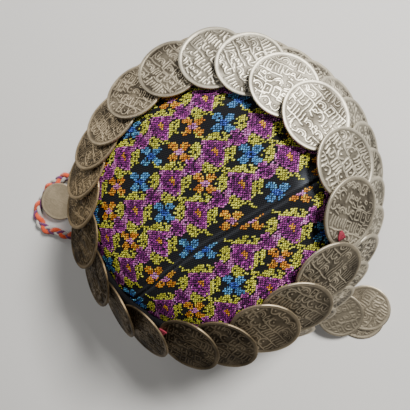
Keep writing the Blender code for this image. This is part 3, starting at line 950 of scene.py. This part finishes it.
lower_coins = bmesh.new()
shanks = []
quarter = Matrix.Rotation(-math.pi / 2, 4, "Z")
for number in range(LOWER_COINS):
    bearing = (number + 0.5) * 2 * math.pi / LOWER_COINS
    root = band_point(bearing, tape_level(bearing), TAPE_STANDOFF + TAPE_THICKNESS / 2)
    slope = math.radians(np.interp(math.degrees(bearing), *zip(*LOWER_SLOPES), period=360.0))
    turn = coin_frame(bearing, slope, math.radians(LOWER_TWIST))
    hole = Vector(root) + turn @ Vector((0.0, 0.0, SHANK_LENGTH))
    middle = hole + turn @ Vector((0.0, SHANK_INSET - SMALL_RADIUS, 0.0))
    place = Matrix.Translation(middle * 0.001) @ turn.to_4x4() @ quarter
    tan = 0.5 + 0.4 * math.cos(bearing - 0.5)
    strike_coin(lower_coins, SMALL_RADIUS, SMALL_THICKNESS, SMALL_GRID, 300 + number, 0.3, tan, place, bearing)
    shank = np.linspace(np.array(root), np.array(hole), 4)
    shanks.append(tube(shank, 0.5, 6, (0.3, 0.2, 0.9)))
small_coins = finish_coins("small_coin_row", lower_coins)
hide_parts("lower_coin_row")
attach(small_coins, "root")

TAPE_STEPS = 152
tape_bearings = full_turn(TAPE_STEPS)
tape_corners = ((0.5, 0.0), (0.5, 1.0), (-0.5, 1.0), (-0.5, 0.0), (0.5, 0.0))
tape_rows = [
    band_point(tape_bearings, tape_level(tape_bearings) + up * TAPE_WIDTH, TAPE_STANDOFF + out * TAPE_THICKNESS)
    for up, out in tape_corners
]
tape_uv = np.vstack([np.column_stack([tape_bearings * 80.0, np.full(TAPE_STEPS, 2.0 * row)]) for row in range(5)])
tape_faces = grid_faces(5, TAPE_STEPS, closed=True)
tape = add_piece("coin_tape", np.vstack(tape_rows), tape_faces, red_cotton, weave=tape_uv)
shell = bmesh.new()
shell.from_mesh(tape.data)
bmesh.ops.remove_doubles(shell, verts=shell.verts, dist=0.00001)
bmesh.ops.recalc_face_normals(shell, faces=shell.faces)
shell.to_mesh(tape.data)
shell.free()
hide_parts("lower_coin_row")
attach(tape, "root")

sew("small_coin_shanks", shanks)


# The ring of large coins: 36 mm silver coins with a broad raised rim, each laid over the next and sewn down with
# red thread through a hole near its edge. The right-hand ones are bright, the left-hand ones tanned.
COIN_RADIUS = 18.0
COIN_THICKNESS = 1.1
RING_GRID = 96
RING_HEIGHT = 72.0
# All were sewn on with their marks standing about the same way round.
MARKS_UP = math.radians(250.0)
UPPER_COINS = (
    # bearing, distance from the ring's middle, height over RING_HEIGHT, slope, twist, tarnish and painted light share
    # (painted shade below 1)
    (100, 75.0, 2.2, 30, 6.5, 0.75, 0.42),
    (115, 74.0, 1.0, 33, 6.0, 0.7, 0.46),
    (134, 71.0, 1.5, 35, 4.0, 0.6, 1.0),
    (150, 71.0, 0.5, 38, 10.5, 0.45, 0.92),
    (169, 72.5, -0.3, 46, 11.0, 0.35, 0.86),
    (193, 75.0, 0.0, 50, 8.5, 0.25, 0.84),
    (211, 75.5, -0.3, 43, 8.0, 0.15, 0.93),
    (232, 73.5, 2.5, 32, 9.0, 0.12, 1.0),
    (249, 74.0, 2.8, 27, 8.5, 0.1, 1.0),
    (265, 76.5, 1.85, 20, 9.0, 0.1, 1.0),
    (280, 77.0, 2.2, 17, 9.0, 0.15, 1.0),
    (298, 75.0, 2.3, 21, 7.0, 0.35, 0.95),
    (316, 73.0, 2.0, 25, 6.5, 0.5, 0.95),
    (332, 71.5, 1.5, 29, 8.5, 0.65, 1.0),
    (345, 71.5, 1.1, 31, 11.5, 0.75, 1.0),
    (359, 72.0, 1.3, 32, 13.0, 0.85, 1.0),
    (12, 71.5, 1.6, 31, 11.5, 0.9, 1.0),
    (30, 73.0, 1.9, 32, 11.0, 0.9, 0.42),
    (48, 75.0, 1.2, 38, 12.0, 0.9, 0.3),
    (65, 76.5, 1.0, 45, 14.0, 0.85, 0.32),
    (80, 77.0, 1.5, 39, 11.0, 0.8, 0.38),
)
LOOSE_STITCHES = {
    # coin and the way of its slack strands over its face, in mm
    1: ((-13.0, 4.6), (-14.8, 6.0), (-16.2, 7.6)),
    6: ((-12.4, 4.6), (-10.6, 5.4), (-8.4, 6.2)),
}
STRANDS_ASIDE = (-2.0, -1.0, 0.0, 1.0, 2.0)


def sewn_loop(turn, middle):
    """A flattened ring of thread through a coin's hole and round its edge, in the plane of its radius."""
    angle = np.linspace(0.0, 2 * np.pi, 19)
    x = HOLE_INSET - COIN_RADIUS - 1.9 + 2.2 * np.cos(angle)
    z = 0.82 * np.sign(np.sin(angle)) * np.abs(np.sin(angle)) ** 0.6 - 0.15
    local = np.column_stack([x, np.zeros(19), z])
    path = local @ np.array(turn.transposed()) + np.array(middle)
    return tube(path, 0.3, 6, tuple(turn.col[1]))


def loose_stitch(turn, middle, route, side):
    """A slack strand over the coin's face from under its neighbour, drawn together with others at its end."""
    route = np.array(route)
    across = np.array([route[0][1] - route[-1][1], route[-1][0] - route[0][0]])
    across = across / np.hypot(*across)
    spots = route + across * side * np.array([[1.0], [0.85], [0.2]])
    local = np.column_stack([spots, np.full(3, 0.9)])
    path = smooth_curve(local @ np.array(turn.transposed()) + np.array(middle), 6)
    return tube(path, 0.45, 6, tuple(turn.col[2]))


def lay_coin(name, node, *struck):
    """One struck coin as a piece of its own, where its CAD piece lies."""
    blank = bmesh.new()
    strike_coin(blank, *struck)
    coin = finish_coins(name, blank)
    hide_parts(node)
    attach(coin, "root")
    return coin


loops = []
for number, (bearing, out, lift, slope, twist, tan, painted_light_share) in enumerate(UPPER_COINS, start=1):
    angle = math.radians(bearing)
    turn = coin_frame(angle, math.radians(slope), math.radians(twist))
    middle = np.array([out * math.cos(angle), out * math.sin(angle), RING_HEIGHT + lift]) + RING_MIDDLE
    place = Matrix.Translation(middle * 0.001) @ turn.to_4x4()
    struck = (COIN_RADIUS, COIN_THICKNESS, RING_GRID, number, -1.2, tan, place)
    wear = (MARKS_UP - angle, 1 - 0.15 * tan, painted_light_share)
    lay_coin(f"ring_coin_{number:02d}", f"upper_coin_{number:02d}", *struck, *wear)
    loops.append(sewn_loop(turn, middle))
    if number in LOOSE_STITCHES:
        loops += [loose_stitch(turn, middle, LOOSE_STITCHES[number], side) for side in STRANDS_ASIDE]
sew("ring_coin_threads", loops)


# The drops: one worn coin in the loop of the left cord, and three overlapping ones on the right thread, struck
# like the small coins of the row. The worn one leans on the plait.
DROP_GRID = 64
LEFT_DROP = (134.0, 36.0, 4.25)
LEFT_DROP_TILT = 12.2
RIGHT_DROPS = (
    # x, y and z from the ring's middle, bearing of the raised edge, tilt
    (-87.8, 49.3, 6.7, 330.0, 12.0),
    (-101.7, 40.8, 2.15, 0.0, 0.0),
    (-100.0, 47.5, 0.6, 0.0, 0.0),
)


def tilted(bearing, tilt):
    """The turn of a coin that lies almost flat, with its edge at a bearing raised."""
    outward = Vector((math.cos(bearing), math.sin(bearing), 0.0))
    up = Vector((0.0, 0.0, 1.0))
    x_axis = -outward * math.cos(tilt) - up * math.sin(tilt)
    z_axis = up * math.cos(tilt) - outward * math.sin(tilt)
    return Matrix((x_axis, z_axis.cross(x_axis), z_axis)).transposed()


def lay_drop(name, node, spot_mm, turn, seed, tan, depth, painted_light_share=1.0):
    """One hanging coin where its CAD piece lies, its marks worn down to a share of their depth."""
    place = Matrix.Translation((np.array(spot_mm) + RING_MIDDLE) * 0.001) @ turn.to_4x4()
    struck = (SMALL_RADIUS, SMALL_THICKNESS, DROP_GRID, seed, 2.0, tan, place)
    return lay_coin(name, node, *struck, 1.0, depth, painted_light_share)


left_turn = tilted(0.0, math.radians(LEFT_DROP_TILT)) @ Matrix.Rotation(math.pi, 3, "Z")
# The last number, 1.45, paints light over the whole worn coin.
left_drop = lay_drop("left_worn_coin", "left_drop_coin", LEFT_DROP, left_turn, 501, 0.6, 0.12, 1.45)
for number, (x, y, z, bearing, tilt) in enumerate(RIGHT_DROPS, start=1):
    turn = tilted(math.radians(bearing), math.radians(tilt))
    drop = lay_drop(f"right_coin_{number}", f"right_drop_coin_{number}", (x, y, z), turn, 510 + number, 0.4, 0.55)


# The floor and the light: a plain pale floor, one soft light from the upper right of the picture, and weak ones
# from its upper left and from above.
stone, _, shader, _, _ = start_material("pale matt floor")
wire(shader, {"Base Color": linear("#d9d6d0"), "Roughness": 0.85})
FLOOR_REACH = 2000.0
floor_points = FLOOR_REACH * np.array([(-1.0, -1.0, 0.0), (1.0, -1.0, 0.0), (1.0, 1.0, 0.0), (-1.0, 1.0, 0.0)])
floor = add_piece("floor", floor_points, [(0, 1, 2, 3)], stone)


def soft_light(name, place, aim, size, power):
    """A square soft box that faces a point."""
    box = bpy.data.lights.new(name, "AREA")
    box.size = size
    box.energy = power
    light = bpy.data.objects.new(name, box)
    light.location = place
    light.rotation_euler = (Vector(aim) - Vector(place)).to_track_quat("-Z", "Y").to_euler()
    bpy.context.scene.collection.objects.link(light)


soft_light("window", (-0.52, -0.82, 0.80), (0.0, 0.0, 0.06), 0.3, 35.0)
soft_light("reflector", (0.85, -0.65, 0.5), (0.0, 0.0, 0.05), 0.5, 2.6)
soft_light("ceiling", (0.0, 0.0, 1.4), (0.0, 0.0, 0.0), 0.8, 3.0)
world = bpy.data.worlds.new("room")
world.use_nodes = True
wire(world.node_tree.nodes["Background"], {"Color": linear("#b9bcc2"), "Strength": 0.13})
bpy.context.scene.world = world
